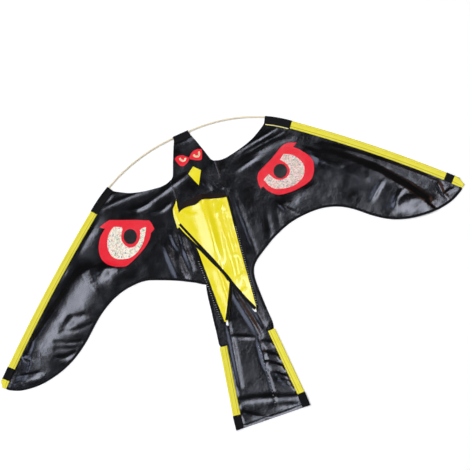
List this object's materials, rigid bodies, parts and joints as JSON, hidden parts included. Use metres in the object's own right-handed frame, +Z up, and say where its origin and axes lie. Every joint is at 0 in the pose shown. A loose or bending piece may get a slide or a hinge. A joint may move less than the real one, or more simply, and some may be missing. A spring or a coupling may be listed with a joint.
{
  "type": "bird scarer kite",
  "caption": "Hawk-shaped kite of coated cloth with a bent rod frame and large wing eyes, flown over crops to frighten birds away.",
  "frame": {"origin": "on the floor, under the middle of the kite's box; the kite lies flat on its back with the belly up", "axes": "+Y towards the head, X across the wings with +X to the wing that is on the right in the picture, +Z up out of the belly"},
  "size_m": [1.2022, 0.7917, 0.0073],
  "materials": {
    "black_cloth": "glossy coated cloth",
    "black_tape": "matt woven tape",
    "yellow_cloth": "satin coated cloth",
    "yellow_tape": "matt woven tape",
    "red_film": "glossy film",
    "glitter_film": "speckled reflecting film",
    "black_film": "glossy film",
    "fibreglass": "smooth pultruded fibreglass",
    "brass": "drawn tube",
    "vinyl": "soft dipped vinyl"
  },
  "bodies": {
    "body": {"head_panel": "black_cloth", "head_sleeve": "black_tape", "spar_ferrule": "brass", "left_bow": "fibreglass", "right_bow": "fibreglass", "left_face_eye": "red_film", "right_face_eye": "red_film", "left_face_iris": "glitter_film", "right_face_iris": "glitter_film", "beak": "yellow_cloth", "back_panel": "black_cloth", "left_side_panel": "black_cloth", "right_side_panel": "black_cloth"},
    "left_wing": {"left_wing_sail": "black_cloth", "left_leading_sleeve": "yellow_tape", "left_shoulder_patch": "black_tape", "left_tip_patch": "black_tape", "left_tip_pocket": "yellow_tape", "left_trailing_binding": "black_tape", "left_wing_spar": "fibreglass", "left_spar_cap": "vinyl", "left_eye_patch": "red_film", "left_eye_iris": "glitter_film", "left_eye_pupil": "black_film"},
    "right_wing": {"right_wing_sail": "black_cloth", "right_leading_sleeve": "yellow_tape", "right_shoulder_patch": "black_tape", "right_tip_patch": "black_tape", "right_tip_pocket": "yellow_tape", "right_trailing_binding": "black_tape", "right_wing_spar": "fibreglass", "right_spar_cap": "vinyl", "right_eye_patch": "red_film", "right_eye_iris": "glitter_film", "right_eye_pupil": "black_film"},
    "right_keel": {"right_keel_panel": "yellow_cloth", "right_mouth_hem": "black_tape", "right_rear_hem": "black_tape"},
    "left_keel_lower_body": {"left_keel_lower": "yellow_cloth", "left_mouth_hem_lower": "black_tape", "left_rear_hem_lower": "black_tape"},
    "left_keel_upper_body": {"left_keel_upper": "yellow_cloth", "left_mouth_hem_upper": "black_tape", "left_rear_hem_upper": "black_tape"},
    "tail": {"tail_panel": "black_cloth", "tail_hem": "black_tape", "left_tail_side": "black_cloth", "right_tail_side": "black_cloth", "left_tail_sleeve": "yellow_tape", "right_tail_sleeve": "yellow_tape", "left_tail_pocket": "black_tape", "right_tail_pocket": "black_tape", "left_tail_rod": "fibreglass", "right_tail_rod": "fibreglass"}
  },
  "joints": [
    {"name": "left_wing_flap", "type": "hinge", "parent": "body", "child": "left_wing", "pos_m": [-0.08, 0, 0.0002], "axis": [0, 1, 0], "range_deg": [-20, 45], "stiffness_Nm_per_rad": 2.5, "deforming": ["left_bow"]},
    {"name": "right_wing_flap", "type": "hinge", "parent": "body", "child": "right_wing", "pos_m": [0.08, 0, 0.0002], "axis": [0, -1, 0], "range_deg": [-20, 45], "stiffness_Nm_per_rad": 2.5, "deforming": ["right_bow"]},
    {"name": "keel_lift", "type": "hinge", "parent": "body", "child": "right_keel", "pos_m": [0.04871, 0.04055, 0.0009], "axis": [0.0494, 0.9988, 0], "range_deg": [0, 45]},
    {"name": "left_keel_lift", "type": "hinge", "parent": "body", "child": "left_keel_lower_body", "pos_m": [-0.04871, 0.04055, 0.0009], "axis": [-0.0494, 0.9988, 0], "range_deg": [-25, 0]},
    {"name": "left_keel_unfold", "type": "hinge", "parent": "left_keel_lower_body", "child": "left_keel_upper_body", "pos_m": [0, 0.04055, 0.0016], "axis": [0, 1, 0], "range_deg": [0, 88]},
    {"name": "tail_bend", "type": "hinge", "parent": "body", "child": "tail", "pos_m": [0, -0.15365, 0.0002], "axis": [-1, 0, 0], "range_deg": [-20, 45]}
  ],
  "couplings": [
    {"joint": "left_keel_lift", "follows": "keel_lift", "ratio": -0.55},
    {"joint": "left_keel_unfold", "follows": "keel_lift", "ratio": 1.94}
  ]
}
